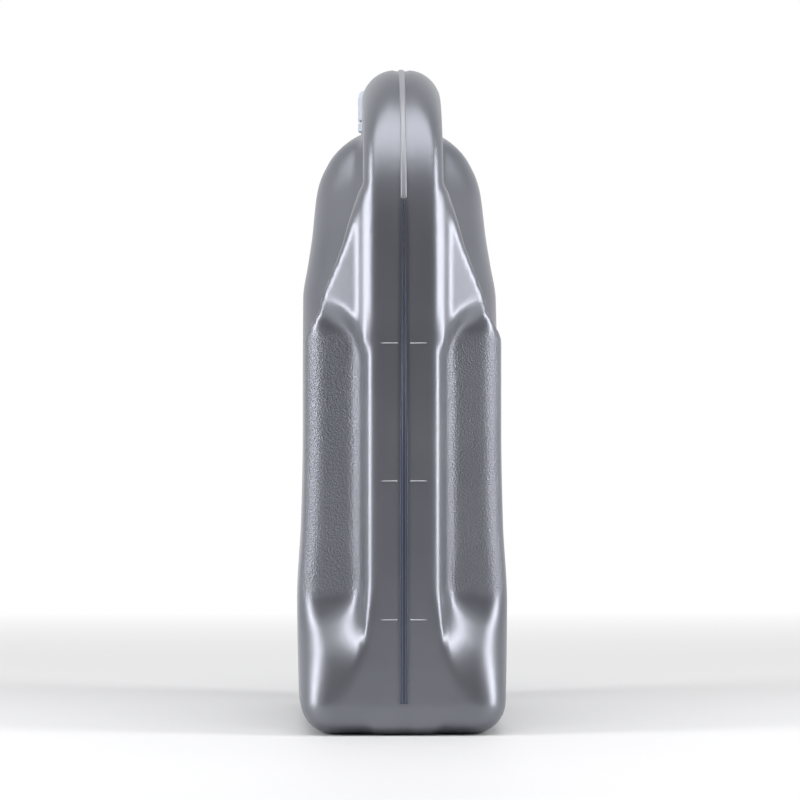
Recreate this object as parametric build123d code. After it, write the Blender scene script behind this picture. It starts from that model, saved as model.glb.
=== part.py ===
from build123d import *
import math
import os

# A four-litre motor oil bottle, blow-moulded in one piece with its hollow handle, and its screw closure.
# Millimetres. X runs from the neck side (-X) to the handle side (+X), Y is the thickness, Z is up.
# The origin is the middle of the footprint, on the surface that the bottle stands on.

# ---- Bottle: sizes that can be set by themselves ----
WIDTH = 190.0            # neck side to spine
HEIGHT = 320.0           # standing surface to the top of the handle
BASE_HALF = 50.5         # half thickness at the foot
BELLY_HALF = 51.3        # half thickness at the fullest height
WAIST_HALF = 48.5        # half thickness above the belly
SHOULDER_HALF = 42.4     # half thickness where the shoulder turns in
WALL = 1.2               # blow-moulded wall

# Heights above the standing surface
FOOT_HEIGHT = 22.5       # block under the grip recesses
BELLY_HEIGHT = 61.0

# Drops below the top of the handle
WAIST_DROP = 177.0       # the waist starts
CREASE_DROP = 138.0      # upper end of the grip recesses
OVERHANG_DROP = 120.0    # the shoulder overhangs the recesses
FRONT_DROP = 104.0       # the front edge starts to curve in
ARCH_DROP = 100.0        # the spine starts to arch
TURN_DROP = 61.0         # the shoulder turns in
FLARE_DROP = 52.0        # the handle's rear root starts to widen
NECK_FLAT_DROP = 25.0    # flat that the neck rises from
LIP_DROP = 7.0           # sealing lip

# Shoulder: how its thickness falls from the overhang to the neck's flat
OVERHANG_NARROWING = 0.5  # lost between the waist and the overhang
MIDWAY_SHARE = 0.45      # share of the slope where half of its narrowing is lost
TURN_STATIONS = [(0.38, 0.16), (0.66, 0.48)]  # share of the rise to the flat, share of the narrowing

FOOT_ROUND = 8.0
FRONT_CORNER = 16.0      # upright corners of the foot and of the front
RECESS_CORNER = 12.0
SHOULDER_CORNER = 24.0
PUSH_UP = 3.0            # depth of the hollow under the base
STANDING_RING = 9.0      # width of the ring that the bottle stands on

SPINE_HALF = 19.0        # half thickness of the spine and the handle
SPINE_ROUND = 8.0
GRIP_DEPTH = 16.0        # how far the spine stands out of the grip recesses
SHOULDER_STEP = 6.0      # how far it stands out of the shoulder
ARCH_LENGTH = 72.0       # from the spine to the handle's highest point
HANDLE_TO_CAP = 5.5      # finger gap between the handle's front root and the cap
ROOT_DEPTH = 20.0        # handle's front root, from the cap's side to the hand hole

# Handle's rear root, which widens from the handle down to the shoulder
FLARE_TOP_INSET = 2.0    # half thickness short of the spine's, at its top
FLARE_LOW_INSET = 1.5    # half thickness short of the waist's, at the overhang
FLARE_FOOT_INSET = 2.0   # further short of it, at its foot
FLARE_FOOT_RISE = 4.0    # its foot, above the crease
FLARE_FOOT_REACH = 40.0  # how far it reaches forward of the grip recess, at four heights
FLARE_LOW_REACH = 36.0
FLARE_MIDDLE_REACH = 20.0
FLARE_TOP_REACH = 14.0
FLARE_LOW_CORNER = 20.0
FLARE_TOP_CORNER = 6.0

# Hand hole: the hull of three circles
HOLE_FRONT_RADIUS = 16.5
HOLE_FRONT_DROP = 44.0
HOLE_REAR_RADIUS = 19.5
HOLE_REAR_DROP = 56.5
HOLE_REAR_IN = 56.0      # from the spine to the circle's centre
HOLE_LOW_RADIUS = 14.5
HOLE_LOW_DROP = 111.5
HOLE_LOW_IN = 44.0
HOLE_RAMP = 34.0         # how far the dished rim around the hand hole reaches
HOLE_RIM_HALF = 15.0     # half thickness of the rim where the dish starts

# ---- Neck finish and closure: sizes that can be set by themselves ----
NECK_IN = 49.0           # from the front edge to the neck's axis
NECK_FLAT_RADIUS = 22.0
NECK_FLAT_SIDE = 0.5     # straight side left between the flat's corners
NECK_RADIUS = 17.4
NECK_WALL = 2.0
BEAD_OUT = 1.1           # how far the bead over the tamper band stands out of the neck
BEAD_HEIGHT = 1.2
THREAD_PITCH = 4.2
THREAD_TURNS = 1.5
THREAD_DEPTH = 1.1
THREAD_ROOT_WIDTH = 2.0
THREAD_CREST_WIDTH = 1.0
THREAD_SINK = 0.3        # how far a thread's foot is buried in its wall
THREAD_TO_LIP = 2.0      # from the sealing lip down to the end of the thread

CAP_SKIRT = 1.3
CAP_PANEL = 1.6
CAP_ROUND = 1.5
CAP_RIBS = 72
CAP_RIB_RADIUS = 0.45
THREAD_CLEARANCE = 0.3   # from a thread's crest to the facing wall
LINER_THICKNESS = 1.2
LINER_CLEARANCE = 0.3
BAND_HEIGHT = 5.0        # tamper band, which rests on the neck's flat
BAND_GAP = 0.5           # cut between the band and the cap, after the bridges have parted
BAND_LIP = 0.8           # inward lip that catches under the bead
BAND_LIP_HEIGHT = 1.8
BEAD_CLEARANCE = 0.3     # from the band's lip to the bead

# ---- Places worked out from them ----
HALF_WIDTH = WIDTH / 2
WAIST_HEIGHT = HEIGHT - WAIST_DROP
CREASE_HEIGHT = HEIGHT - CREASE_DROP
SHOULDER_LOW = HEIGHT - OVERHANG_DROP
SHOULDER_TURN = HEIGHT - TURN_DROP
FRONT_UPRIGHT = HEIGHT - FRONT_DROP
ARCH_START = HEIGHT - ARCH_DROP
FLARE_TOP = HEIGHT - FLARE_DROP
NECK_BASE = HEIGHT - NECK_FLAT_DROP
NECK_TOP = HEIGHT - LIP_DROP
GRIP_X = HALF_WIDTH - GRIP_DEPTH
SHOULDER_X = HALF_WIDTH - SHOULDER_STEP
ARCH_TOP_X = HALF_WIDTH - ARCH_LENGTH
NECK_X = NECK_IN - HALF_WIDTH
CAP_INNER = NECK_RADIUS + THREAD_DEPTH + THREAD_CLEARANCE
CAP_RADIUS = CAP_INNER + CAP_SKIRT
CAP_LOW = NECK_BASE + BAND_HEIGHT + BAND_GAP
CAP_TOP = NECK_TOP + LINER_THICKNESS + CAP_PANEL
BEAD_LOW = NECK_BASE + BAND_LIP_HEIGHT + BEAD_CLEARANCE
THREAD_RISE = THREAD_PITCH * THREAD_TURNS
THREAD_LOW = NECK_TOP - THREAD_TO_LIP - THREAD_RISE - THREAD_ROOT_WIDTH / 2
ON_NECK = Pos(NECK_X, 0, 0)
HANDLE_FRONT_X = NECK_X + CAP_RADIUS + CAP_RIB_RADIUS + HANDLE_TO_CAP
HOLE_CIRCLES = [
    (HANDLE_FRONT_X + ROOT_DEPTH + HOLE_FRONT_RADIUS, HEIGHT - HOLE_FRONT_DROP, HOLE_FRONT_RADIUS),
    (HALF_WIDTH - HOLE_REAR_IN, HEIGHT - HOLE_REAR_DROP, HOLE_REAR_RADIUS),
    (HALF_WIDTH - HOLE_LOW_IN, HEIGHT - HOLE_LOW_DROP, HOLE_LOW_RADIUS),
]


# ---- Shapes used by both ----
def post(radius, low, high):
    """Upright cylinder on the neck's axis."""
    return ON_NECK * Pos(0, 0, low) * extrude(Circle(radius), high - low)


# ---- Bottle ----
def front_x(z):
    """Front edge of the body: upright, then a quarter ellipse in to the neck's flat."""
    top_x = NECK_X - NECK_FLAT_RADIUS
    share = min(max((z - FRONT_UPRIGHT) / (NECK_BASE - FRONT_UPRIGHT), 0.0), 1.0)
    return top_x - (HALF_WIDTH + top_x) * math.sqrt(1.0 - share * share)


def spine_x(z):
    """Rear edge of the spine: upright, then a quarter ellipse up to the top of the handle."""
    share = max((z - ARCH_START) / ARCH_DROP, 0.0)
    return ARCH_TOP_X + ARCH_LENGTH * math.sqrt(1.0 - share * share)


def hole_middle_x(z):
    """Line through the hand hole. The shoulder ends inside the hole, which then trims it."""
    top_x, top_z, _ = HOLE_CIRCLES[0]
    low_x, low_z, _ = HOLE_CIRCLES[-1]
    return top_x + (low_x - top_x) * (top_z - z) / (top_z - low_z)


def rounded_section(x_min, x_max, half_y, front_round, rear_round, z):
    """Rounded rectangle at height z, with one corner radius at the front and another at the rear."""
    corners = [
        (x_max - rear_round, half_y - rear_round, rear_round, 0),
        (x_min + front_round, half_y - front_round, front_round, 90),
        (x_min + front_round, front_round - half_y, front_round, 180),
        (x_max - rear_round, rear_round - half_y, rear_round, 270),
    ]
    arcs = [CenterArc((x, y, z), radius, start, 90) for x, y, radius, start in corners]
    sides = [Line(arc @ 1, following @ 0) for arc, following in zip(arcs, arcs[1:] + arcs[:1])]
    return make_face([edge for pair in zip(arcs, sides) for edge in pair])


def body(inset):
    """Body from the foot to the neck's flat, through rounded sections of changing depth and thickness."""
    turn_in = SHOULDER_HALF - NECK_FLAT_RADIUS
    slope = SHOULDER_TURN - SHOULDER_LOW
    rise = NECK_BASE - SHOULDER_TURN
    neck_corner = NECK_FLAT_RADIUS - NECK_FLAT_SIDE
    overhang_half = WAIST_HALF - OVERHANG_NARROWING
    midway_height = SHOULDER_LOW + MIDWAY_SHARE * slope
    turn_rows = [
        (SHOULDER_TURN + up * rise, None, SHOULDER_HALF - narrowing * turn_in, RECESS_CORNER)
        for up, narrowing in TURN_STATIONS
    ]
    rows = [
        # height, rear edge, half thickness, rear corner
        (FOOT_HEIGHT, HALF_WIDTH, BASE_HALF, FRONT_CORNER),
        (BELLY_HEIGHT, GRIP_X, BELLY_HALF, RECESS_CORNER),
        (WAIST_HEIGHT, GRIP_X, WAIST_HALF, RECESS_CORNER),
        (CREASE_HEIGHT, GRIP_X, WAIST_HALF, RECESS_CORNER),
        (SHOULDER_LOW, SHOULDER_X, overhang_half, SHOULDER_CORNER),
        (midway_height, None, (WAIST_HALF + SHOULDER_HALF) / 2, RECESS_CORNER),
        (SHOULDER_TURN, None, SHOULDER_HALF, RECESS_CORNER),
        *turn_rows,
        (NECK_BASE, NECK_X + NECK_FLAT_RADIUS, NECK_FLAT_RADIUS, neck_corner),
    ]
    sections = []
    for z, rear, half, rear_corner in rows:
        rear = hole_middle_x(z) if rear is None else rear
        front_corner = neck_corner if z == NECK_BASE else FRONT_CORNER
        height = z - inset if z > CREASE_HEIGHT else z
        sections.append(rounded_section(
            front_x(z) + inset, rear - inset, half - inset,
            front_corner - inset, rear_corner - inset, height,
        ))
    return loft(sections, ruled=True)


def foot_block(inset):
    """Full-width block at the foot, its standing edge rounded."""
    corner = FRONT_CORNER - inset
    outline = rounded_section(
        inset - HALF_WIDTH, HALF_WIDTH - inset, BASE_HALF - inset, corner, corner, inset,
    )
    block = extrude(outline, FOOT_HEIGHT - inset)
    return fillet(block.edges().group_by(Axis.Z)[0], FOOT_ROUND - inset)


def push_up(inset):
    """Shallow hollow under the base, which narrows upwards at 45 degrees."""
    def ring(z, margin):
        return rounded_section(
            margin - HALF_WIDTH, HALF_WIDTH - margin, BASE_HALF - margin, FRONT_CORNER, FRONT_CORNER, z
        )
    edge = FOOT_ROUND + STANDING_RING - inset
    return loft([ring(inset - PUSH_UP, edge - PUSH_UP), ring(inset + PUSH_UP, edge + PUSH_UP)], ruled=True)


def spine_outline(inset):
    """Side view of the spine, the handle's arch and the handle's front root, closed inside the body."""
    root_z = NECK_BASE - WALL
    front_reach = ARCH_TOP_X - HANDLE_FRONT_X
    arch = EllipticalCenterArc(
        (ARCH_TOP_X, ARCH_START), ARCH_LENGTH - inset, ARCH_DROP - inset, arc_size=90
    )
    front = EllipticalCenterArc(
        (ARCH_TOP_X, root_z), front_reach - inset, HEIGHT - root_z - inset, start_angle=90, arc_size=90
    )
    low = FOOT_HEIGHT / 2
    buried_x = GRIP_X - 2 * SPINE_ROUND
    inside = Polyline(
        front @ 1, (HANDLE_FRONT_X + inset, SHOULDER_TURN), (buried_x, CREASE_HEIGHT - 2 * SPINE_ROUND),
        (buried_x, low), (HALF_WIDTH - inset, low), arch @ 0,
    )
    return make_face([arch, front, inside])


def spine_band(inset):
    """Spine and handle: the outline at full thickness, its outer edges rounded all the way along."""
    half = SPINE_HALF - inset
    band = extrude(Plane.XZ * spine_outline(inset), half, both=True)
    outer_edges = [
        edge for edge in band.edges()
        if abs(abs(edge.center().Y) - half) < 0.01
        and (edge.geom_type == GeomType.ELLIPSE or edge.center().X > HALF_WIDTH - inset - 0.01)
    ]
    return fillet(outer_edges, SPINE_ROUND - inset)


def root_flare(inset):
    """Handle's rear root, which widens from the handle down to the shoulder."""
    middle = (FLARE_TOP + SHOULDER_LOW) / 2
    top_half = SPINE_HALF - FLARE_TOP_INSET
    low_half = WAIST_HALF - FLARE_LOW_INSET
    foot_half = low_half - FLARE_FOOT_INSET
    middle_half = (top_half + low_half) / 2
    rows = [
        # height, reach forward, rear edge, half thickness, corner
        (CREASE_HEIGHT + FLARE_FOOT_RISE, FLARE_FOOT_REACH, GRIP_X, foot_half, RECESS_CORNER),
        (SHOULDER_LOW, FLARE_LOW_REACH, SHOULDER_X, low_half, FLARE_LOW_CORNER),
        (middle, FLARE_MIDDLE_REACH, spine_x(middle) - SHOULDER_STEP, middle_half, RECESS_CORNER),
        (FLARE_TOP, FLARE_TOP_REACH, spine_x(FLARE_TOP) - SHOULDER_STEP, top_half, FLARE_TOP_CORNER),
    ]
    return loft([
        rounded_section(
            GRIP_X - reach + inset, rear - inset, half - inset, corner - inset, corner - inset, z
        )
        for z, reach, rear, half, corner in rows
    ], ruled=True)


def hole_outline(grow):
    """Hand hole: the hull of its circles, grown by a margin."""
    return make_hull([
        Circle(radius + grow).edge().moved(Location((x, z, 0))) for x, z, radius in HOLE_CIRCLES
    ])


def hole_cutter(inset):
    """Hand hole right through, with the dished rim that runs out over the shoulder on both sides."""
    reach = BELLY_HALF - HOLE_RIM_HALF
    cutter = extrude(Plane.XZ * hole_outline(inset), BELLY_HALF, both=True)
    for side in (-1, 1):
        rim = Plane((0, side * (HOLE_RIM_HALF - inset), 0), x_dir=(1, 0, 0), z_dir=(0, -1, 0))
        brink = rim.offset(-side * reach)
        cutter += loft([rim * hole_outline(inset), brink * hole_outline(inset + HOLE_RAMP)], ruled=True)
    return cutter


def envelope(inset):
    """Outside of the bottle below its neck or, inset by the wall, its cavity."""
    solid = foot_block(inset) + body(inset) + spine_band(inset) + root_flare(inset)
    return solid - hole_cutter(inset) - push_up(inset)


def thread(wall_radius, direction, low, rise):
    """Helical ridge on a wall of this radius. It stands outwards for direction 1, inwards for -1."""
    foot = wall_radius - direction * THREAD_SINK
    crest = wall_radius + direction * THREAD_DEPTH
    path = Helix(THREAD_PITCH, rise, wall_radius)
    profile = make_face(Polyline(
        (foot, 0, -THREAD_ROOT_WIDTH / 2), (crest, 0, -THREAD_CREST_WIDTH / 2),
        (crest, 0, THREAD_CREST_WIDTH / 2), (foot, 0, THREAD_ROOT_WIDTH / 2), close=True,
    ))
    return ON_NECK * Pos(0, 0, low) * sweep(profile, path, is_frenet=True)


def neck():
    """Neck finish: a tube with the bead that keeps the tamper band down, and the thread."""
    bead = post(NECK_RADIUS + BEAD_OUT, BEAD_LOW, BEAD_LOW + BEAD_HEIGHT)
    bead = chamfer(bead.edges().group_by(Axis.Z)[-1], BEAD_HEIGHT / 2)
    ridge = thread(NECK_RADIUS, 1, THREAD_LOW, THREAD_RISE)
    return post(NECK_RADIUS, NECK_BASE - WALL, NECK_TOP) + bead + ridge


def bottle():
    """The whole blow-moulding: shell, hollow handle and open neck."""
    bore = post(NECK_RADIUS - NECK_WALL, NECK_BASE - 2 * WALL, NECK_TOP + WALL)
    return envelope(0.0) + neck() - envelope(WALL) - bore


# ---- Closure ----
def tube(outer, inner, low, high):
    """Ring on the neck's axis."""
    return post(outer, low, high) - post(inner, low, high)


def cap():
    """Screw cap: ribbed skirt, top panel and inner thread, which runs half a pitch above the neck's."""
    ribbed = Circle(CAP_RADIUS) + PolarLocations(CAP_RADIUS, CAP_RIBS) * Circle(CAP_RIB_RADIUS)
    ribs = ON_NECK * Pos(0, 0, CAP_LOW) * extrude(ribbed, CAP_TOP - 2 * CAP_ROUND - CAP_LOW)
    crown = post(CAP_RADIUS, CAP_LOW, CAP_TOP)
    crown = fillet(crown.edges().group_by(Axis.Z)[-1], CAP_ROUND)
    inside = post(CAP_INNER, CAP_LOW - 1.0, CAP_TOP - CAP_PANEL)
    half_pitch = THREAD_PITCH / 2
    ridge = thread(CAP_INNER, -1, THREAD_LOW + half_pitch, THREAD_RISE - half_pitch)
    return ribs + crown - inside + ridge


def cap_liner():
    """Foam wad that seals on the neck's lip."""
    return post(CAP_INNER - LINER_CLEARANCE, NECK_TOP, NECK_TOP + LINER_THICKNESS)


def tamper_band():
    """Ring left on the neck when the cap's bridges part, held down by its lip under the bead."""
    ring = tube(CAP_RADIUS, CAP_INNER, NECK_BASE, NECK_BASE + BAND_HEIGHT)
    lip = tube(CAP_RADIUS, CAP_INNER - BAND_LIP, NECK_BASE, NECK_BASE + BAND_LIP_HEIGHT)
    return ring + lip


if __name__ == "__main__":
    os.makedirs("parts", exist_ok=True)
    for make in (bottle, cap, cap_liner, tamper_band):
        export_step(make(), f"parts/{make.__name__}.step")
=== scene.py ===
# %% [markdown]
# # Motor oil bottle
# A four-litre oil jug, blown in one piece from silver-grey polyethylene with its hollow handle, and
# closed by a screw cap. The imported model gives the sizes, the neck's place and the joints; this file
# gives the looks.

# %% Frame
import math

import bmesh
import bpy
import mathutils
import numpy as np
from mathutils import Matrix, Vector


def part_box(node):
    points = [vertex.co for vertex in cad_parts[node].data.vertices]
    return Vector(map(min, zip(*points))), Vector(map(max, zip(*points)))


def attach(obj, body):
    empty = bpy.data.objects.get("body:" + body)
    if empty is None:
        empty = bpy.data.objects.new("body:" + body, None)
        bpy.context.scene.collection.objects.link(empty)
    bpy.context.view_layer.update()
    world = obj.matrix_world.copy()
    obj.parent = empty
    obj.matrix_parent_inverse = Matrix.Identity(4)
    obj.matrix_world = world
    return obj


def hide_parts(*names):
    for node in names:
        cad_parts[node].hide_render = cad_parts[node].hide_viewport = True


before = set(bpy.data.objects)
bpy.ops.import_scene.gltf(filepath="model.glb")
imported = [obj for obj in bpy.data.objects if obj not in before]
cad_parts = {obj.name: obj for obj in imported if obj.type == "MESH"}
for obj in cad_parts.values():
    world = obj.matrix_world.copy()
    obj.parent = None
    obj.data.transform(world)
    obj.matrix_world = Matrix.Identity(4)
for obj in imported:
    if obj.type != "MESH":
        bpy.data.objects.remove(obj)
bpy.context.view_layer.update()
MM = 0.001

# %% [markdown]
# ## Sizes
# The shape is worked out in millimetres. Everything that the model already knows is read from its boxes:
# the bottle's width and height, and the neck's axis and heights from the closure that sits on it. The
# numbers could be typed in again, but read ones stay right when the model changes.

# %% Sizes from the frame
def box_mm(node):
    """Lowest and highest corner of a node, in millimetres."""
    low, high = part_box(node)
    return np.array(low) / MM, np.array(high) / MM


bottle_high = box_mm("bottle")[1]
cap_low, cap_high = box_mm("cap")
band_low, band_high = box_mm("tamper_band")
liner_low, liner_high = box_mm("cap_liner")

half_width = bottle_high[0]
height = bottle_high[2]
neck_x = (cap_low[0] + cap_high[0]) / 2
flat_z = band_low[2]
lip_z = liner_low[2]
wall = 1.2                       # thickness of the blown plastic
print(f"half width {half_width:.1f}, height {height:.1f}")
print(f"neck at {neck_x:.1f}, flat {flat_z:.1f}, lip {lip_z:.1f}")

# %% [markdown]
# ## Rounding helpers
# A moulded shape has no sharp edge. Where two surfaces meet, `rounded_max` turns the outside corner with
# a true radius, and `rounded_min` fills the inside corner. Both work on distances: below 0 is inside the
# plastic. A Bevel modifier could round made edges, but these radii change along the edge, so they belong
# in the formula.

# %% Rounding helpers
def rounded_max(a, b, r):
    """Corner of two solids: hypot(a + r, b + r) - r where both are above -r, else the larger of the two."""
    outside = np.hypot(np.maximum(a + r, 0), np.maximum(b + r, 0))
    return outside + np.minimum(np.maximum(a, b) + r, 0) - r


def rounded_min(a, b, r):
    """Union of two solids, with a fillet of radius r in the corner between them."""
    return -rounded_max(-a, -b, r)


def ease(low, high, v):
    """0 below low, 1 above high, and 3t^2 - 2t^3 between them."""
    t = np.clip((v - low) / (high - low), 0, 1)
    return t * t * (3 - 2 * t)


def soft_min(a, b, k):
    """The smaller of a and b, with the switch spread over a difference of k."""
    t = np.clip(0.5 + 0.5 * (b - a) / k, 0, 1)
    return b * (1 - t) + a * t - k * t * (1 - t)


def through(points, v):
    """Smooth curve through (place, value) points: cubic Hermite pieces whose slopes never overshoot."""
    x, y = np.array(points, float).T
    step = np.diff(x)
    slope = np.diff(y) / step
    product = slope[:-1] * slope[1:]
    mean = np.where(product > 0, 2 * product / (slope[:-1] + slope[1:] + 1e-12), 0)
    m = np.concatenate([[slope[0]], mean, [slope[-1]]])
    i = np.clip(np.searchsorted(x, v) - 1, 0, len(step) - 1)
    t = np.clip((v - x[i]) / step[i], 0, 1)
    rise = y[i + 1] - y[i]
    leaving = m[i] * step[i] * (1 - t) ** 2
    arriving = t * (rise * (3 - 2 * t) - m[i + 1] * step[i] * (1 - t))
    return y[i] + t * (leaving + arriving)


# %% [markdown]
# ## Outlines seen from the side
# Two curves carry the shape: the spine's outline, which runs up the rear, over as the handle and down to
# its front root, and the hand hole, which is the hull of three circles. They could be drawn as curve
# objects, but as formulas they can tell any point how far away it is, and the shell is built from that.

# %% Outlines
arch_z = height - 100.0          # the spine starts to arch
arch_x = half_width - 72.0       # the handle's highest point
root_x = neck_x + (cap_high[0] - cap_low[0]) / 2 + 5.5
root_z = flat_z - wall
front_z = height - 104.0         # the front edge starts to curve in
flat_radius = 22.0
hole_circles = [
    (root_x + 20.0 + 16.5, height - 44.0, 16.5),
    (half_width - 56.0, height - 56.5, 19.5),
    (half_width - 44.0, height - 111.5, 14.5),
]


def quarter_gap(x, z, x0, z0, reach, rise):
    """Distance outside a box whose far corner is a quarter ellipse about (x0, z0): (k - 1) k / |grad|."""
    dx = np.maximum((x - x0) * np.sign(reach), 0)
    dz = np.maximum(z - z0, 0)
    k = np.hypot(dx / reach, dz / rise)
    slope = np.hypot(dx / reach ** 2, dz / rise ** 2)
    return np.where(k > 0.01, (k - 1) * k / (slope + 1e-9), -min(abs(reach), rise))


def spine_gap(x, z):
    """Distance outside the spine, arch and front root, seen from the side."""
    rear = quarter_gap(x, z, arch_x, arch_z, half_width - arch_x, height - arch_z)
    front = quarter_gap(x, z, arch_x, root_z, root_x - arch_x, height - root_z)
    return np.where(x > arch_x, rear, front)


def front_gap(x, z):
    """Distance outside the front edge and the neck's flat."""
    x0 = neck_x - flat_radius
    return quarter_gap(x, z, x0, front_z, -half_width - x0, flat_z - front_z)


def spine_x(z):
    """Rear edge of the spine at height z."""
    share = np.clip((z - arch_z) / (height - arch_z), 0, 1)
    return arch_x + (half_width - arch_x) * np.sqrt(1 - share ** 2)


def pair_gap(x, z, a, b):
    """Distance outside the hull of two circles: to an end circle, or to the tangent line between them."""
    (ax, az, ra), (bx, bz, rb) = a, b
    length = math.hypot(bx - ax, bz - az)
    ux, uz = (bx - ax) / length, (bz - az) / length
    along = (x - ax) * ux + (z - az) * uz
    aside = np.abs((z - az) * ux - (x - ax) * uz)
    sine = (ra - rb) / length
    cosine = math.sqrt(1 - sine ** 2)
    place = cosine * along - sine * aside
    line = cosine * aside + sine * along - ra
    ends = np.where(place < 0, np.hypot(aside, along) - ra, np.hypot(aside, along - length) - rb)
    return np.where((place < 0) | (place > cosine * length), ends, line)


def hole_gap(x, z):
    """Distance outside the hand hole's outline: the nearest of its three pairs of circles."""
    a, b, c = hole_circles
    return np.minimum(np.minimum(pair_gap(x, z, a, b), pair_gap(x, z, b, c)), pair_gap(x, z, a, c))


# %% [markdown]
# ## Body
# The body's half thickness changes with height and is a little crowned. Around the hand hole it drops
# into a dish. Sections could be lofted instead, but one thickness for each place makes the body and the
# dish a single surface.

# %% Body thickness
thickness_at = [
    (0, 49.8), (22, 50.5), (61, 51.2), (100, 49.2), (143, 48.4), (209, 48.4), (226, 46.0), (240, 44.0),
    (259, 42.2), (265, 41.2), (271, 39.3), (277, 36.2), (284, 31.8), (290.5, 27.0), (297.6, 22.2),
]
crown = 1.6                      # how much thinner the body is at crown_reach from crown_x
crown_x = -8.0
crown_reach = 85.0
rim_half = 14.0                  # half thickness at the rim of the hand hole
dish_slope = 1.05
flare_half_top = 18.4            # half thickness of the flare at flare_z, from where it widens downwards
flare_slope = 0.46
flare_z = height - 53.0


def flare_half(z):
    """Half thickness of the handle's rear root, which widens downwards."""
    return flare_half_top + flare_slope * (flare_z - z)


def body_half(x, z):
    """Half thickness of the body: by height, crowned, and dished around the hand hole."""
    full = through(thickness_at, z) - crown * ((x - crown_x) / crown_reach) ** 2
    gap = np.maximum(hole_gap(x, z), 0)
    near = rim_half + dish_slope * gap
    # The flare reaches its width 10 mm from the hole low down, and 21 mm from it at the shoulder
    span = 10.0 + 11.0 * ease(200.0, 236.0, z)
    rear = rim_half + (flare_half(z) - rim_half) * soft_min(gap / span, 1.15, 0.5)
    dish = near + (rear - near) * ease(26.0, 66.0, x)
    return soft_min(full, dish, 10.0)


print(f"fullest half thickness {max(half for _, half in thickness_at):.1f}, at the hand hole {rim_half:.1f}")


# %% [markdown]
# ## Rear of the body
# Beside the spine, the rear is a recess for the fingers. The shoulder overhangs it above, and a ramp
# leads down from it to the foot below, so the rear surface is a depth that depends on the place across
# and on the height. It could be cut with a Boolean, but then every crease would be sharp, and here each
# has its own softness.

# %% Body rear
spine_half = 19.0
recess_depth = 16.0              # recess floor and shoulder below the spine's face
shoulder_depth = 5.5
upper_crease = 193.0             # heights of the recess's two creases
lower_crease = 66.0
ridge_z = 63.2                   # top of the foot beside the spine, and its fall towards the side
ridge_fall = 40.8
ridge_side = 49.0                # where that fall ends, and the width that it takes
ridge_width = 31.6


def rear_x(y, z):
    """Rear surface beside the spine: the recess, with the shoulder above it and ramp and foot below it."""
    out = np.maximum(y - spine_half, 0)
    recess = half_width - recess_depth - 0.18 * out
    shoulder = spine_x(z) - shoulder_depth - 0.6 * out
    upper = upper_crease + 0.2 * out - 19.0 * np.exp(-out / 6.0)
    lower = lower_crease - 0.42 * out + 5.5 * np.exp(-out / 4.0)
    across = np.clip((ridge_side - np.maximum(y, spine_half + 1.0)) / ridge_width, 0, 1)
    ridge = ridge_z - ridge_fall * np.sqrt(1 - across ** 2)
    ramp = recess + (half_width - recess) * (lower - z) / np.maximum(lower - ridge, 4.0)
    low = soft_min(half_width, -soft_min(-recess, -ramp, 5.0), 9.0)
    return low + (shoulder - low) * ease(0.0, 12.0, z - upper)


# %% [markdown]
# ## The whole outside
# Body and spine are joined with a fillet, the hand hole is cut with a rounded edge, and the underside is
# hollowed so that the jug stands on a ring. Four solids and Booleans could give the same, but a Boolean
# has no fillet, while distances are joined, cut and rounded in one formula.

# %% Whole outside
spine_inset = 0.3                # room for the marks and the bead, which reach the full size
channel_half = 2.6               # half width of the shallow channel down the middle of the spine
channel_depth = 0.5
# Height and radius of the hollow corner beside the spine: none at the foot, where the two faces are one
blend_at = [(0, 0.2), (46, 0.3), (64, 5.0), (90, 7.5), (170, 7.5), (205, 4.0), (320, 4.0)]
# Height and radius of the body's rear edges
corner_at = [(0, 15.0), (25, 15.0), (62, 9.5), (188, 9.5), (208, 8.0), (300, 8.0)]
# Height and radius of the spine's outer edge: it runs out into the foot, and is fullest over the handle
edge_at = [(0, 1.0), (38, 1.5), (74, 8.0), (275, 8.0), (316, 16.0), (320, 16.0)]

front_corner = 16.0              # radius of the body's front edges
roof_slope = 0.35                # fall of the roof behind the neck, and what makes it a distance again
roof_scale = 1.06
hole_edge = 6.5                  # radius around the hand hole
foot_half = 50.5                 # half thickness of the foot
foot_hollow = 3.0                # height of the hollow in the underside
ring_outer = 15.0                # from the foot's side to the hollow's start and to its full height
ring_inner = 21.0


def outside(x, y, z):
    """Distance outside the bottle below its neck, for the whole shape. Below 0 is inside."""
    y = np.abs(y)
    corner = through(corner_at, z)
    corner = corner + (front_corner - corner) * (1 - ease(-20.0, 20.0, x))
    sides = y - body_half(x, z)
    roof = (z - flat_z + roof_slope * np.maximum(x - root_x, 0)) / roof_scale
    channel = channel_depth * (1 - ease(channel_half, channel_half + 2.0, y))
    rear = x - rear_x(y, z) + spine_inset + channel
    ends = rounded_max(rounded_max(front_gap(x, z), roof, 4.0), rear, 3.0)
    body = rounded_max(ends, sides, corner)
    edge = through(edge_at, z)
    spine = rounded_max(spine_gap(x, z) + spine_inset + channel, y - spine_half, edge)
    whole = rounded_min(body, spine, through(blend_at, z))
    whole = rounded_max(whole, -hole_gap(x, z), hole_edge)
    edge_in = np.minimum(half_width - np.abs(x), foot_half - y)
    hollow = foot_hollow * ease(ring_outer, ring_inner, edge_in)
    return rounded_max(whole, hollow - z, 15.0)


# %% [markdown]
# ## The shell's surface
# A real jug is blown against a mould, so its skin is wherever the mould's wall is. Here the skin is the
# place where `outside` crosses 0. The space is cut into cells; each cell that the skin passes through
# gets one point, and each cell edge that it crosses gets one quad. A grid carried round the body could be
# used on a plain bottle, but the hand hole makes this one a ring, which no single grid covers without a
# seam.

# %% Surface of a distance
net_step = 2.2


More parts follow.
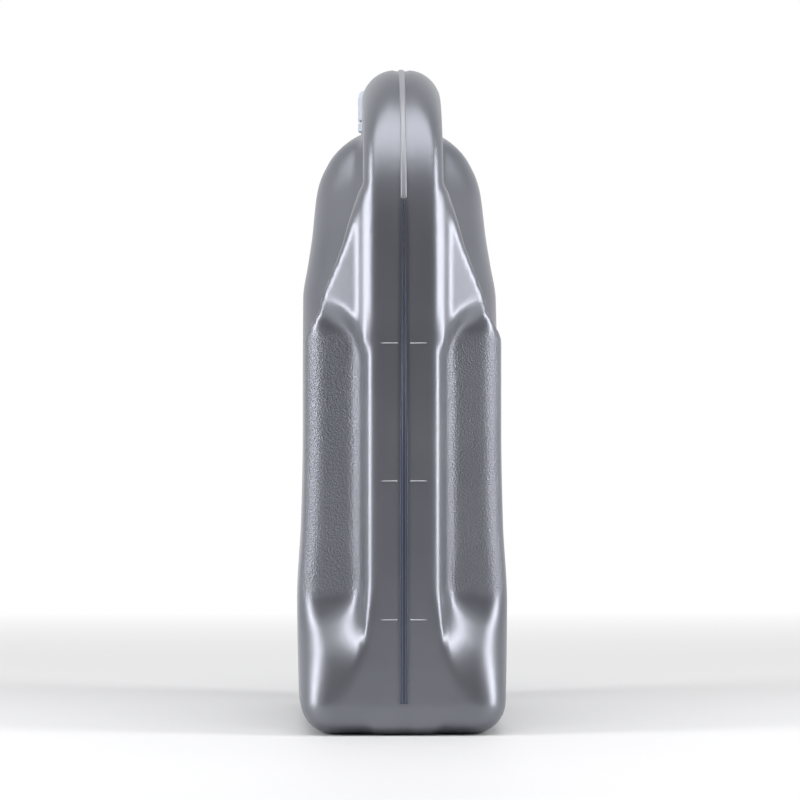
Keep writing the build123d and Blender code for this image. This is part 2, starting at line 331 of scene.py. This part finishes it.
def net(distance, low, high, step):
    """Closed quad surface of distance = 0: one point a cell, at the mean of its edges' crossings."""
    axes = [np.arange(a, b + step, step) for a, b in zip(low, high)]
    field = distance(*np.meshgrid(*axes, indexing="ij"))
    inside = field < 0
    corners = np.array([(i, j, k) for i in (0, 1) for j in (0, 1) for k in (0, 1)])
    size = np.array(field.shape) - 1
    values = np.stack([field[i:i + size[0], j:j + size[1], k:k + size[2]] for i, j, k in corners])
    mixed = (values < 0).any(axis=0) & ~(values < 0).all(axis=0)
    cells = np.argwhere(mixed)
    values = values[:, mixed]
    total = np.zeros((len(cells), 3))
    count = np.zeros(len(cells))
    for a in range(8):
        for b in range(a + 1, 8):
            if np.abs(corners[a] - corners[b]).sum() == 1:
                cut = (values[a] < 0) != (values[b] < 0)
                share = values[a][cut] / (values[a][cut] - values[b][cut])
                total[cut] += corners[a] + share[:, None] * (corners[b] - corners[a])
                count[cut] += 1
    points = np.array([axis[0] for axis in axes]) + step * (cells + total / count[:, None])
    number = np.full(tuple(size), -1)
    number[mixed] = np.arange(len(cells))
    quads = []
    for axis in range(3):
        side, other = (axis + 1) % 3, (axis + 2) % 3
        before = np.take(inside, range(size[axis]), axis)
        after = np.take(inside, range(1, size[axis] + 1), axis)
        edge = np.argwhere(before != after)
        a_step, b_step = np.eye(3, dtype=int)[side], np.eye(3, dtype=int)[other]
        around = [edge - a_step - b_step, edge - b_step, edge, edge - a_step]
        quad = np.stack([number[tuple(place.T)] for place in around], axis=1)
        leaving = before[tuple(edge.T)]
        quads.append(np.where(leaving[:, None], quad, quad[:, ::-1]))
    return points, np.concatenate(quads)


# %% [markdown]
# ## Even points
# The net's points lie unevenly, which shows as ripples in a highlight. Each is moved towards its
# neighbours and then back on to the skin. A Smooth modifier could even them out too, but it shrinks the
# shape and nothing pulls it back.

# %% Even points
probe = 0.05                     # how far from a point its slope is measured


def pull(points, distance, rounds=4):
    """Points moved on to distance = 0: each round steps by -f g / |g|^2, with g from central differences."""
    for _ in range(rounds):
        f = distance(*points.T)
        g = np.stack([
            (distance(*(points + shift).T) - distance(*(points - shift).T)) / (2 * probe)
            for shift in probe * np.eye(3)
        ], axis=1)
        move = -f[:, None] * g / np.maximum((g * g).sum(axis=1), 0.2)[:, None]
        points = points + np.clip(move, -1.0, 1.0)
    return points


def even_out(points, quads, distance, rounds=4):
    """Each point moved half of the way to the mean of its neighbours, then pulled back, a few times."""
    start = quads.ravel()
    end = np.roll(quads, -1, axis=1).ravel()
    count = len(points)
    degree = np.bincount(start, minlength=count) + np.bincount(end, minlength=count)
    for _ in range(rounds):
        mean = np.stack([
            np.bincount(start, points[end, k], count) + np.bincount(end, points[start, k], count)
            for k in range(3)
        ], axis=1) / degree[:, None]
        points = pull((points + mean) / 2, distance, 2)
    return pull(points, distance)


# %% [markdown]
# ## Shell points
# The net is cast over a box a little larger than the jug. A cell of 2.2 mm shows every crease and keeps
# the shell under 200,000 triangles once it has its wall; a smaller cell would show no more, because the
# points lie on the true skin already.

# %% Shell points
search_low = (-97.9, -53.9, -3.3)
search_high = (97.9, 53.9, 323.4)
shell_points, shell_quads = net(outside, search_low, search_high, net_step)
shell_points = even_out(shell_points, shell_quads, outside)
print(f"shell: {len(shell_points)} points, {len(shell_quads)} quads")
print("shell box", shell_points.min(0), shell_points.max(0))

# %% [markdown]
# ## Opening for the neck
# The faces of the flat that lie inside the neck are taken out, and the edge that is left is drawn on to a
# circle in the middle of the neck's wall, so that the cavity is open to the bore. A Boolean could cut it,
# but it leaves thin triangles where it cuts, and moved points keep even quads.

# %% Opening and object
neck_radius = 17.4
bore_radius = 15.4
opening_radius = (neck_radius + bore_radius) / 2


def make_object(name, points, faces, smooth=True):
    """Mesh object of points in millimetres, put into metres, with smooth or flat faces."""
    mesh = bpy.data.meshes.new(name)
    mesh.from_pydata((points * MM).tolist(), [], faces if isinstance(faces, list) else faces.tolist())
    mesh.polygons.foreach_set("use_smooth", [smooth] * len(mesh.polygons))
    mesh.update()
    thing = bpy.data.objects.new(name, mesh)
    bpy.context.scene.collection.objects.link(thing)
    return thing


from_neck = np.hypot(shell_points[:, 0] - neck_x, shell_points[:, 1])
near_flat = shell_points[:, 2] > flat_z - 3.0
under_neck = (from_neck < opening_radius) & near_flat
kept = shell_quads[~under_neck[shell_quads].any(axis=1)]
rim = np.setdiff1d(np.unique(shell_quads[under_neck[shell_quads].any(axis=1)]), np.flatnonzero(under_neck))
drawn = opening_radius / from_neck[rim]
shell_points[rim, 0] = neck_x + (shell_points[rim, 0] - neck_x) * drawn
shell_points[rim, 1] *= drawn
used, numbered = np.unique(kept, return_inverse=True)
shell = make_object("bottle_shell", shell_points[used], numbered.reshape(kept.shape))
solidify = shell.modifiers.new("wall", "SOLIDIFY")
solidify.thickness = wall * MM
solidify.offset = -1.0
print(f"shell faces {len(shell.data.polygons)}, rim points {len(rim)}")

# %% [markdown]
# ## Turned pieces
# The neck, the cap, its liner and the tamper band are all turned about the neck's axis. Each is a grid:
# the profile runs one way and the angle the other. Ribs and threads push the radius in or out. A Screw
# modifier could turn a profile too, but it can push nothing in or out on the way round.

# %% Turned pieces
def turned(name, profile, angles, push=None):
    """Closed (radius, z) profile turned about the neck's axis: x = R cos a, y = R sin a, R = r + push."""
    r, z = np.array(profile, float).T
    a = np.linspace(0, 2 * np.pi, angles, endpoint=False)
    radius = np.repeat(r[:, None], angles, axis=1)
    if push is not None:
        radius = radius + push(r[:, None], z[:, None], a[None, :], np.arange(len(r))[:, None])
    points = np.stack([
        neck_x + radius * np.cos(a), radius * np.sin(a), np.repeat(z[:, None], angles, axis=1),
    ], axis=2).reshape(-1, 3)
    row, column = np.meshgrid(np.arange(len(r)), np.arange(angles), indexing="ij")
    below = (row + 1) % len(r)
    beside = (column + 1) % angles
    rows = np.stack([row, row, below, below], axis=2)
    columns = np.stack([column, beside, beside, column], axis=2)
    piece = make_object(name, points, (rows * angles + columns).reshape(-1, 4))
    work = bmesh.new()
    work.from_mesh(piece.data)
    bmesh.ops.remove_doubles(work, verts=work.verts, dist=1e-6)
    bmesh.ops.dissolve_degenerate(work, edges=work.edges, dist=1e-6)
    bmesh.ops.recalc_face_normals(work, faces=work.faces)
    work.to_mesh(piece.data)
    work.free()
    piece.data.polygons.foreach_set("use_smooth", [True] * len(piece.data.polygons))
    return piece


def run(start, end, count):
    """Points of a straight piece of a profile, its end left out."""
    share = np.linspace(0, 1, count, endpoint=False)[:, None]
    return (np.array(start) + share * (np.array(end, float) - start)).tolist()


def bend(centre, radius, start, end, count=6):
    """Points of an arc of a profile, between two angles in degrees."""
    a = np.radians(np.linspace(start, end, count))
    return np.stack([centre[0] + radius * np.cos(a), centre[1] + radius * np.sin(a)], axis=1).tolist()


# %% [markdown]
# ## Thread
# A closure's thread is a ridge that climbs one pitch a turn and runs out softly at both ends. It could be
# a curve with a bevel laid on the wall, but then the two surfaces cross; as a push of the wall it is one
# closed skin.

# %% Thread
thread_pitch = 4.2
thread_rise = 6.3                # one and a half turns
thread_depth = 1.1
thread_half = 1.15               # half width of the ridge at its root
flank = 0.6                      # width of each flank
fade_rise = 0.6                  # climb in which an end fades out
thread_low = lip_z - 2.0 - thread_rise - 1.0


def helix_ridge(z, a, low, rise, depth):
    """Ridge on a right-hand helix: depth times (half width - distance) / flank, kept from 0 to 1."""
    ridge = np.zeros(np.broadcast(z, a).shape)
    for turn in range(-1, 4):
        climb = thread_pitch * (turn + a / (2 * np.pi))
        off = np.abs(z - low - climb)
        fade = ease(0.0, fade_rise, climb) * (1 - ease(rise - fade_rise, rise, climb))
        ridge = np.maximum(ridge, depth * np.clip((thread_half - off) / flank, 0, 1) * fade)
    return ridge


# %% [markdown]
# ## Neck finish
# The neck is the one accurate part of a blown jug: a ring of plastic with a bead that stops the tamper
# band, the thread above it, and a flat lip. It could be part of the shell's skin, but 2.2 mm cells can't
# hold a thread, so it is turned apart and its lower end is buried in the flat.

# %% Neck finish
bead_low = flat_z + 2.1
bead_out = 1.1
bead_rows = 7                    # profile points up to the top of the bead, then those of the threaded wall
wall_rows = 48
neck_turn = 240                  # points round the neck
neck_profile = (
    run((neck_radius, flat_z - wall), (neck_radius, bead_low), 4)
    + [[neck_radius + bead_out, bead_low], [neck_radius + bead_out, bead_low + 0.6]]
    + [[neck_radius + 0.5, bead_low + 1.2]]
    + run((neck_radius, bead_low + 1.2), (neck_radius, lip_z - 0.5), wall_rows)
    + bend((neck_radius - 0.5, lip_z - 0.5), 0.5, 0, 90, 4)
    + bend((bore_radius + 0.5, lip_z - 0.5), 0.5, 90, 180, 4)
    + run((bore_radius, lip_z - 0.6), (bore_radius, flat_z - wall), 6) + [[bore_radius, flat_z - wall]]
)


def neck_thread(r, z, a, row):
    """Outer thread, only on the rows of the outer wall above the bead."""
    outer = (row > bead_rows) & (row < bead_rows + wall_rows)
    return np.where(outer, helix_ridge(z, a, thread_low, thread_rise, thread_depth), 0.0)


neck = turned("neck_finish", neck_profile, neck_turn, neck_thread)
print("neck faces", len(neck.data.polygons))

# %% [markdown]
# ## Cap
# A moulded cap has 72 fine grip ribs that run out below its rounded edge, and a thread inside. An array
# of 72 small blocks could make the ribs, but they would only stand on the wall; pushed out, they flow
# from it as moulded.

# %% Cap
cap_radius = 20.1
cap_inner = 18.8
cap_z, cap_top = cap_low[2], cap_high[2]
panel_z = cap_top - 1.6
rim_turn = 576                   # points round the cap: eight for each rib
rib_rate = 36                    # half of the ribs, because each wave of the cosine makes two
rib_depth = 0.45
thread_rows = 50                 # profile points of the inner wall, then those of the panel's underside
panel_rows = 4
cap_profile = (
    run((0.0, cap_top - 0.35), (12.0, cap_top - 0.35), 3) + run((12.0, cap_top - 0.35), (13.0, cap_top), 3)
    + run((13.0, cap_top), (cap_radius - 1.5, cap_top), 3)
    + bend((cap_radius - 1.5, cap_top - 1.5), 1.5, 90, 0, 8)
    + run((cap_radius, cap_top - 1.7), (cap_radius, cap_z + 0.3), 22)
    + bend((cap_radius - 0.3, cap_z + 0.3), 0.3, 0, -90, 3)
    + bend((cap_inner + 0.3, cap_z + 0.3), 0.3, -90, -180, 3)
    + run((cap_inner, cap_z + 0.4), (cap_inner, panel_z), thread_rows)
    + run((cap_inner, panel_z), (0.0, panel_z), panel_rows)
    + [[0.0, panel_z]]
)
first_inner = len(cap_profile) - 1 - panel_rows - thread_rows


def ribs(z, a, low, high):
    """Rounded ribs: rib_depth times the root of |cos(36 a)|, faded out over 1.2 mm at the top."""
    wave = rib_depth * np.sqrt(np.abs(np.cos(rib_rate * a)))
    return wave * (1 - ease(high - 1.2, high, z)) * ease(low, low + 0.2, z)


def cap_push(r, z, a, row):
    """Ribs on the outer wall and thread on the inner wall."""
    outer = (r > cap_radius - 0.05) & (row < first_inner)
    inner = (row >= first_inner) & (row < first_inner + thread_rows)
    half_turn = thread_pitch / 2
    thread = -helix_ridge(z, a, thread_low + half_turn, thread_rise - half_turn, thread_depth)
    return np.where(outer, ribs(z, a, cap_z, cap_top - 2.2), 0.0) + np.where(inner, thread, 0.0)


cap = turned("cap_body", cap_profile, rim_turn, cap_push)
print("cap faces", len(cap.data.polygons))

# %% [markdown]
# ## Liner and tamper band
# The liner is a foam wad that seals on the lip. The band is the ring that tears off the cap the first
# time it is opened; a small lip inside it catches under the neck's bead. A plain torus could stand for
# the band, but its ribs and its lip are what tell a reader what it does.

# %% Liner and tamper band
liner_z, liner_top = liner_low[2], liner_high[2]
liner_radius = (liner_high[0] - liner_low[0]) / 2
liner_turn = 96
liner = turned("liner_disc", (
    run((0.0, liner_top), (liner_radius - 0.3, liner_top), 4)
    + bend((liner_radius - 0.3, liner_top - 0.3), 0.3, 90, 0, 4)
    + bend((liner_radius - 0.3, liner_z + 0.3), 0.3, 0, -90, 4)
    + run((liner_radius - 0.3, liner_z), (0.0, liner_z), 4) + [[0.0, liner_z]]
), liner_turn)
band_z, band_top = band_low[2], band_high[2]
edge_rows = 4                    # profile points of the band's lower edge, then those of its ribbed wall
band_rows = 14
lip_inner = cap_inner - 0.8
lip_top = band_z + 1.8
band_profile = (
    bend((cap_radius - 0.3, band_z + 0.3), 0.3, -90, 0, edge_rows)
    + run((cap_radius, band_z + 0.4), (cap_radius, band_top - 0.2), band_rows)
    + run((cap_radius, band_top), (cap_inner, band_top), 3)
    + run((cap_inner, band_top), (cap_inner, lip_top), 5)
    + run((cap_inner, lip_top), (lip_inner, lip_top), 2)
    + run((lip_inner, lip_top), (lip_inner, band_z), 3)
    + run((lip_inner, band_z), (cap_radius - 0.4, band_z), 3)
)


def band_ribs(r, z, a, row):
    """The cap's ribs carried on down the band's outer wall."""
    on_wall = row < edge_rows + band_rows
    return np.where(r > cap_radius - 0.05, ribs(z, a, band_z, band_top), 0.0) * on_wall


band = turned("band_ring", band_profile, rim_turn, band_ribs)
print("liner and band faces", len(liner.data.polygons), len(band.data.polygons))

# %% [markdown]
# ## Spine details
# The view stripe lies in the channel down the spine, with a groove along its middle. Where it ends, the
# mould's pinched seam goes on over the handle as a bead. Both could be painted on, but a stripe that lies
# in a channel and a bead that stands up catch the light as they do on a jug, so each is a strip carried
# along the spine's own path.

# %% Path over the spine
def spine_path(s):
    """Place and outward direction: s runs to 1 up the rear, to 2 over the arch, to 3 down the front."""
    rear_turn = np.radians(90 * np.clip(s - 1, 0, 1))
    front_turn = np.radians(90 * np.clip(3 - s, 0, 1))
    a, b = half_width - arch_x, height - arch_z
    c, d = arch_x - root_x, height - root_z
    x = np.where(s < 2, arch_x + a * np.cos(rear_turn), arch_x - c * np.cos(front_turn))
    z = np.where(s < 2, arch_z + b * np.sin(rear_turn), root_z + d * np.sin(front_turn))
    z = np.where(s < 1, arch_z * s, z)
    nx = np.where(s < 2, b * np.cos(rear_turn), -d * np.cos(front_turn))
    nz = np.where(s < 2, a * np.sin(rear_turn), c * np.sin(front_turn))
    size = np.hypot(nx, nz)
    return x, z, nx / size, nz / size


def along_spine(name, s, half_at, rise_at, columns):
    """Strip on the spine: point = path + n rise(s, t), y = t half(s), t from -1 to 1; closed underneath."""
    t = np.linspace(-1, 1, columns)
    x, z, nx, nz = (v[:, None] for v in spine_path(s))
    rise = rise_at(s[:, None], t[None, :])
    y = half_at(s)[:, None] * t
    points = np.stack([x + nx * rise, y, z + nz * rise], axis=2).reshape(-1, 3)
    row, column = np.meshgrid(np.arange(len(s) - 1), np.arange(columns - 1), indexing="ij")
    first = row * columns + column
    above = first + columns
    quads = np.stack([first, first + 1, above + 1, above], axis=2).reshape(-1, 4)
    piece = make_object(name, points, quads)
    thick = piece.modifiers.new("buried", "SOLIDIFY")
    thick.thickness = 0.5 * MM
    thick.offset = -1.0
    return piece


# %% [markdown]
# ## Stripe and bead
# The stripe narrows upwards and has a groove along its middle. The bead is where the mould pinched the
# tube shut, so it is a little rough over the top of the handle, and it sinks away at both ends. Noise
# could roughen it, but two sines give the same bead on every run.

# %% Stripe and bead
stripe_below_top = 67.3          # where the stripe ends and the bead starts
bead_end = 2.82                  # where on the path the bead ends
junction = 1 + math.asin((height - stripe_below_top - arch_z) / (height - arch_z)) / (math.pi / 2)
stripe = along_spine(
    "view_stripe", np.linspace(0.07, junction, 240),
    lambda s: 1.8 - 1.2 * ease(120.0, 250.0, spine_path(s)[1]),
    lambda s, t: -0.55 + 0.35 * ease(0.15, 0.55, np.abs(t)) - 0.3 * ease(0.8, 1.0, np.abs(t)), 21,
)


def bead_rise(s, t):
    """Round bead, a little rough over the top of the handle, that sinks away at its two ends."""
    ends = ease(junction, junction + 0.012, s) * (1 - ease(2.75, bead_end, s))
    rough = 0.10 * np.sin(170 * s + 3 * t) * np.sin(410 * s) * ease(1.6, 1.75, s) * (1 - ease(2.3, 2.5, s))
    return -0.95 + ends * (0.85 * np.sqrt(np.clip(1 - t * t, 0, 1)) + np.minimum(rough, 0.09))


bead = along_spine("pinch_bead", np.linspace(junction, bead_end, 420), lambda s: 1.5 + 0 * s, bead_rise, 15)
# %% [markdown]
# ## Level marks
# Each mark is a low ridge across the spine, cut into the mould where a litre ends. A texture could draw
# it, but a ridge keeps its edge in the light from any side. It sinks under the stripe in the middle, as
# the stripe runs over it.

# %% Level marks
mark_heights = [184.7, 120.0, 54.8]
mark_half = 10.8                 # half length of a mark
long, short = 61, 9              # points along a mark and across it


def level_mark(name, z):
    """Low ridge: x = base + 0.48 cos(90 t), t from -1 to 1 across; sunk where |y| is under 3.4 mm."""
    y = np.linspace(-mark_half, mark_half, long)[:, None]
    t = np.linspace(-1, 1, short)[None, :]
    half = 0.45 * np.sqrt(np.clip(1 - (np.abs(y) / mark_half) ** 12, 0, 1)) + 0.02
    clear = ease(2.8, 3.4, np.abs(y))
    arch = 0.48 * np.cos(t * np.pi / 2)
    x = half_width - spine_inset - 0.2 + arch * (0.15 + 0.85 * clear) - 0.5 * (1 - clear)
    points = np.stack(np.broadcast_arrays(x, y, z + t * half), axis=2).reshape(-1, 3)
    row, column = np.meshgrid(np.arange(long - 1), np.arange(short - 1), indexing="ij")
    first = row * short + column
    quads = np.stack([first, first + short, first + short + 1, first + 1], axis=2).reshape(-1, 4)
    piece = make_object(name, points, quads)
    thick = piece.modifiers.new("buried", "SOLIDIFY")
    thick.thickness = 0.4 * MM
    thick.offset = -1.0
    return piece


marks = [level_mark(f"level_mark_{k + 1}", z) for k, z in enumerate(mark_heights)]
print(f"stripe ends at {spine_path(np.array([junction]))[1][0]:.1f} mm, {len(marks)} level marks")

# %% [markdown]
# ## Materials
# The jug is a satin, silver-grey polyethylene with a fine pearl in it; the grip recesses carry a spark-
# eroded grain. Pictures could be wrapped round it, but nodes that read the piece's own coordinates have
# no seam and never blur. These small helpers add a node and link it in one line.

# %% Material helpers
def link(tree, kind, inputs=(), **settings):
    """New node with its settings; an input is a socket to link from or a plain value."""
    node = tree.nodes.new(kind)
    for key, value in settings.items():
        setattr(node, key, value)
    for key, value in dict(inputs).items():
        if isinstance(value, bpy.types.NodeSocket):
            tree.links.new(value, node.inputs[key])
        else:
            node.inputs[key].default_value = value
    return node


def arithmetic(tree, operation, a, b=0.0):
    """One step of arithmetic on two sockets or values."""
    return link(tree, "ShaderNodeMath", {0: a, 1: b}, operation=operation).outputs[0]


def window(tree, value, low, high, soft):
    """1 where low < value < high, with soft edges."""
    rise = link(tree, "ShaderNodeMapRange", {"Value": value, 1: low - soft, 2: low + soft}).outputs[0]
    fall = link(tree, "ShaderNodeMapRange", {"Value": value, 1: high + soft, 2: high - soft}).outputs[0]
    return arithmetic(tree, "MULTIPLY", rise, fall)


# %% [markdown]
# ## One plastic for all
# Every piece is a moulded plastic, so one function makes them all, and they differ in shade, roughness
# and grain. The grip's grain is a window in X, Y and Z on the same material; it could be a material of
# its own, but then its edge would be a hard line along the faces.

# %% Plastic
grip_x = (0.068, 0.0865)         # metres, as the window that the grip's grain lies in
grip_y = (0.0205, 0.060)
grip_z = (0.066, 0.190)
grip_scale = 1150.0
grip_depth = 0.00018


def plastic(name, dark, light, roughness, grain_scale, grain_depth, metallic=0.0, grip=False):
    """Moulded plastic: a slow change of shade, a varying roughness and a fine grain on Object coordinates."""
    material = bpy.data.materials.new(name)
    material.use_nodes = True
    tree = material.node_tree
    shader = tree.nodes["Principled BSDF"]
    place = link(tree, "ShaderNodeTexCoord").outputs["Object"]
    slow = link(tree, "ShaderNodeTexNoise", {"Vector": place, "Scale": 18.0, "Detail": 3.0}).outputs["Fac"]
    grain = {"Vector": place, "Scale": grain_scale, "Detail": 2.0}
    fine = link(tree, "ShaderNodeTexNoise", grain).outputs["Fac"]
    ramp = link(tree, "ShaderNodeValToRGB", {"Fac": slow})
    ramp.color_ramp.elements[0].position, ramp.color_ramp.elements[1].position = 0.3, 0.7
    ramp.color_ramp.elements[0].color, ramp.color_ramp.elements[1].color = (*dark, 1), (*light, 1)
    spread = {"Value": slow, 3: roughness - 0.04, 4: roughness + 0.05}
    rough = link(tree, "ShaderNodeMapRange", spread).outputs[0]
    height_in = arithmetic(tree, "MULTIPLY", fine, grain_depth)
    if grip:
        part = link(tree, "ShaderNodeSeparateXYZ", {"Vector": place}).outputs
        aside = arithmetic(tree, "ABSOLUTE", part["Y"])
        area = window(tree, part["X"], *grip_x, 0.001)
        area = arithmetic(tree, "MULTIPLY", area, window(tree, part["Z"], *grip_z, 0.003))
        area = arithmetic(tree, "MULTIPLY", area, window(tree, aside, *grip_y, 0.001))
        cell = link(tree, "ShaderNodeTexVoronoi", {"Vector": place, "Scale": grip_scale}).outputs["Distance"]
        leather = arithmetic(tree, "MULTIPLY", arithmetic(tree, "MULTIPLY", cell, area), grip_depth)
        height_in = arithmetic(tree, "ADD", height_in, leather)
        rough = arithmetic(tree, "ADD", rough, arithmetic(tree, "MULTIPLY", area, 0.12))
    bump = link(tree, "ShaderNodeBump", {"Height": height_in, "Strength": 1.0, "Distance": 1.0})
    tree.links.new(ramp.outputs["Color"], shader.inputs["Base Color"])
    tree.links.new(rough, shader.inputs["Roughness"])
    tree.links.new(bump.outputs["Normal"], shader.inputs["Normal"])
    shader.inputs["Metallic"].default_value = metallic
    return material


# %% [markdown]
# ## Finishes
# Six plastics: the jug, its bead, the stripe, the marks, the closure and the liner. Each shade has a dark
# and a light end, in linear RGB. One flat colour could do, but moulded plastic is never even. Each piece's
# entry also carries a slot name, which the loop doesn't use.

# %% Materials
silver = plastic(
    "bottle_plastic", (0.185, 0.191, 0.220), (0.215, 0.221, 0.250), 0.34, 2600.0, 0.00001, 0.60, grip=True,
)
bead_silver = plastic("bead_plastic", (0.27, 0.275, 0.305), (0.33, 0.335, 0.365), 0.42, 900.0, 0.00004, 0.3)
# Blue tint of the stripe, darkened by painted shade of the empty jug's inside seen through it.
stripe_tint_and_painted_shade = plastic("stripe_tint_painted_shade", (0.045, 0.055, 0.092), (0.060, 0.070, 0.110), 0.30, 2000.0, 0.00001)
# The marks are the jug's own plastic; their lighter grey is a painted highlight on the ridges.
mark_painted_highlight = plastic("painted_highlight_marks", (0.34, 0.35, 0.38), (0.42, 0.43, 0.46), 0.34, 2000.0, 0.00001, 0.2)
pale = plastic("cap_plastic", (0.40, 0.44, 0.52), (0.46, 0.50, 0.58), 0.38, 1800.0, 0.00002)
foam = plastic("liner_foam", (0.72, 0.72, 0.69), (0.80, 0.80, 0.77), 0.75, 1400.0, 0.00006)
finishes = [
    (shell, silver, "bottle_plastic"), (neck, silver, "bottle_plastic"),
    (bead, bead_silver, "bottle_plastic"), (stripe, stripe_tint_and_painted_shade, "bottle_plastic"),
    (cap, pale, "cap_plastic"), (liner, foam, "liner_foam"), (band, pale, "band_plastic"),
] + [(mark, mark_painted_highlight, "bottle_plastic") for mark in marks]
for piece, material, slot in finishes:
    piece.data.materials.append(material)
print(f"{len(finishes)} pieces have a finish")

# %% [markdown]
# ## What rides on what
# Everything moulded into the jug, and the band that stays on it, rides on the bottle. The cap turns, and
# the liner rises with it. Parenting could tie the pieces together, but the export needs each piece's body
# by name.

# %% Bodies
for piece in [shell, neck, stripe, bead, band, *marks]:
    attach(piece, "bottle")
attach(cap, "cap")
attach(liner, "liner")
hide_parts("bottle")
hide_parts("cap")
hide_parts("cap_liner")
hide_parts("tamper_band")
print("bodies: bottle, cap, liner")

# %% [markdown]
# ## Floor
# The jug stands on a pale floor that turns into plain light behind it, so that no horizon shows. A curved
# backdrop could do the same, but it would mirror in the satin plastic.

# %% Floor
floor_reach = 3000.0
floor_corners = floor_reach * np.array([[-1, -1, 0], [1, -1, 0], [1, 1, 0], [-1, 1, 0]])
floor = make_object("floor", floor_corners, [[0, 1, 2, 3]], smooth=False)
floor_paint = bpy.data.materials.new("floor_paint")
floor_paint.use_nodes = True
floor_paint.node_tree.nodes["Principled BSDF"].inputs["Base Color"].default_value = (0.74, 0.74, 0.75, 1)
floor_paint.node_tree.nodes["Principled BSDF"].inputs["Roughness"].default_value = 0.6
tree = floor_paint.node_tree
floor_place = link(tree, "ShaderNodeTexCoord").outputs["Object"]
across_floor = link(tree, "ShaderNodeSeparateXYZ", {"Vector": floor_place})
far = link(tree, "ShaderNodeMapRange", {"Value": across_floor.outputs["X"], 1: -0.15, 2: -0.80}).outputs[0]
lit = link(tree, "ShaderNodeEmission", {"Color": (1, 1, 1, 1)}).outputs[0]
paint = tree.nodes["Principled BSDF"].outputs[0]
mixed_floor = link(tree, "ShaderNodeMixShader", {0: far, 1: paint, 2: lit}).outputs[0]
tree.links.new(mixed_floor, tree.nodes["Material Output"].inputs["Surface"])
floor.data.materials.append(floor_paint)


# %% [markdown]
# ## Lights and room
# A tall soft light stands on each side, and one hangs overhead, because long lights draw the long
# highlights that show a smooth form. The camera's side of the room is dark. A picture of a room could
# light it, but its windows would show in the plastic.

# %% Lights and room
def softbox(name, place, target, width, tall, power):
    """Area light at place, turned to target, in metres and watts."""
    data = bpy.data.lights.new(name, "AREA")
    data.shape, data.size, data.size_y, data.energy = "RECTANGLE", width, tall, power
    lamp = bpy.data.objects.new(name, data)
    lamp.location = place
    toward = mathutils.Vector(target) - mathutils.Vector(place)
    lamp.rotation_euler = toward.to_track_quat("-Z", "Y").to_euler()
    bpy.context.scene.collection.objects.link(lamp)


softbox("left_light", (0.27, -0.80, 0.22), (0.05, 0, 0.16), 0.20, 1.3, 10.0)
softbox("right_light", (0.27, 0.80, 0.22), (0.05, 0, 0.16), 0.20, 1.3, 10.0)
softbox("overhead_light", (0.34, 0.0, 1.00), (0.05, 0, 0.15), 1.1, 0.5, 7.0)

world = bpy.data.worlds.new("studio_room")
world.use_nodes = True
bpy.context.scene.world = world
room = world.node_tree
heading = link(room, "ShaderNodeTexCoord").outputs["Generated"]
toward_camera = link(room, "ShaderNodeSeparateXYZ", {"Vector": heading}).outputs["X"]
dimming = {"Value": toward_camera, 1: -0.80, 2: 0.05, 3: 1.0, 4: 0.015}
glow = link(room, "ShaderNodeMapRange", dimming).outputs[0]
room.nodes["Background"].inputs["Color"].default_value = (1, 1, 1, 1)
room.links.new(glow, room.nodes["Background"].inputs["Strength"])

# %% [markdown]
# ## Camera
# The camera looks level at the handle's side, from a little left of the middle. A long lens far away
# keeps the sides nearly parallel; a short one close by would swell the spine.

# %% Camera
camera = bpy.data.objects.new("camera", bpy.data.cameras.new("camera"))
aim_height = 0.158
camera.location = (1.6237, -0.0322, aim_height)
aim = mathutils.Vector((0, 0, aim_height)) - camera.location
camera.rotation_euler = aim.to_track_quat("-Z", "Y").to_euler()
camera.data.lens = 146.7
bpy.context.scene.collection.objects.link(camera)
bpy.context.scene.camera = camera

bpy.context.scene.view_settings.view_transform = "Standard"
print(f"camera {camera.location.length:.2f} m away, lens {camera.data.lens:.1f} mm")
